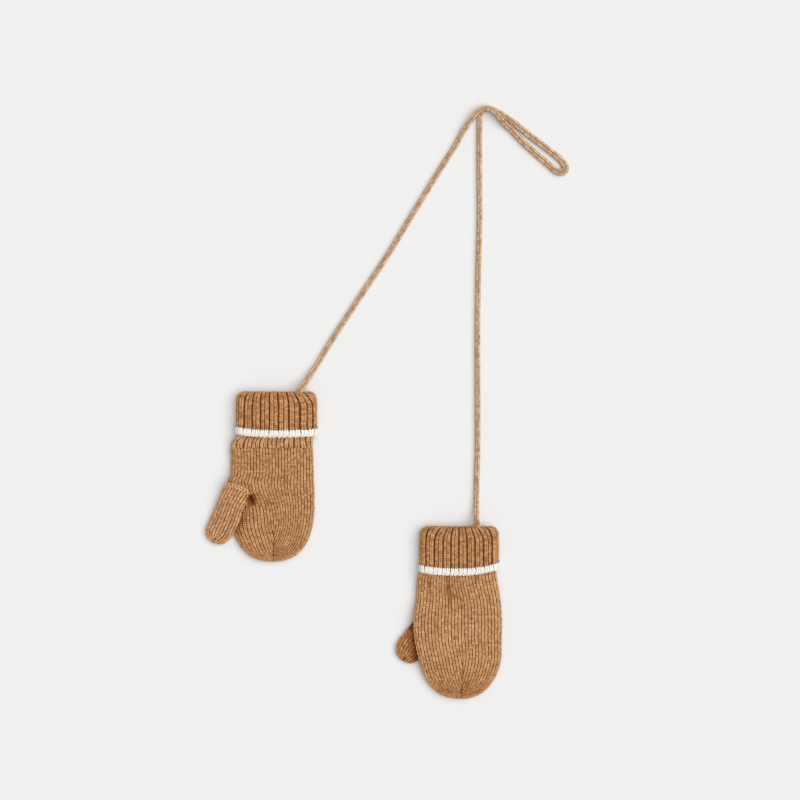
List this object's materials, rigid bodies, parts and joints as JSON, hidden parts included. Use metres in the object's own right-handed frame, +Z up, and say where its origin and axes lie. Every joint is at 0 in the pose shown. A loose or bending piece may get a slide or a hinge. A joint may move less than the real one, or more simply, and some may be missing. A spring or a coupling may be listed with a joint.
{
  "type": "pair of baby mittens",
  "caption": "Knitted baby mittens with turned-back ribbed cuffs, joined by a long slim knitted cord, lying flat with one palm up and one palm down.",
  "frame": {"origin": "on the surface the pair lies on, under the middle of the box round the two mittens without their cord", "axes": "+X from the mitten that lies palm up towards the one that lies palm down, +Y along the mittens from their tips to their cuffs, +Z up from the surface"},
  "size_m": [0.272, 0.4448, 0.0132],
  "materials": {
    "camel_jersey": "soft stocking-stitch knit in a heathered camel yarn",
    "camel_rib": "ribbed knit in the same camel yarn",
    "cream_edge": "cream yarn, one knitted cast-on band",
    "camel_cord": "slim knitted tube cord in the camel yarn"
  },
  "bodies": {
    "root": {"left_hand": "camel_jersey", "left_thumb": "camel_jersey", "left_cuff": "camel_rib", "left_cast_on_edge": "cream_edge", "right_hand": "camel_jersey", "right_thumb": "camel_jersey", "right_cuff": "camel_rib", "right_cast_on_edge": "cream_edge", "cord": "camel_cord"}
  },
  "joints": []
}
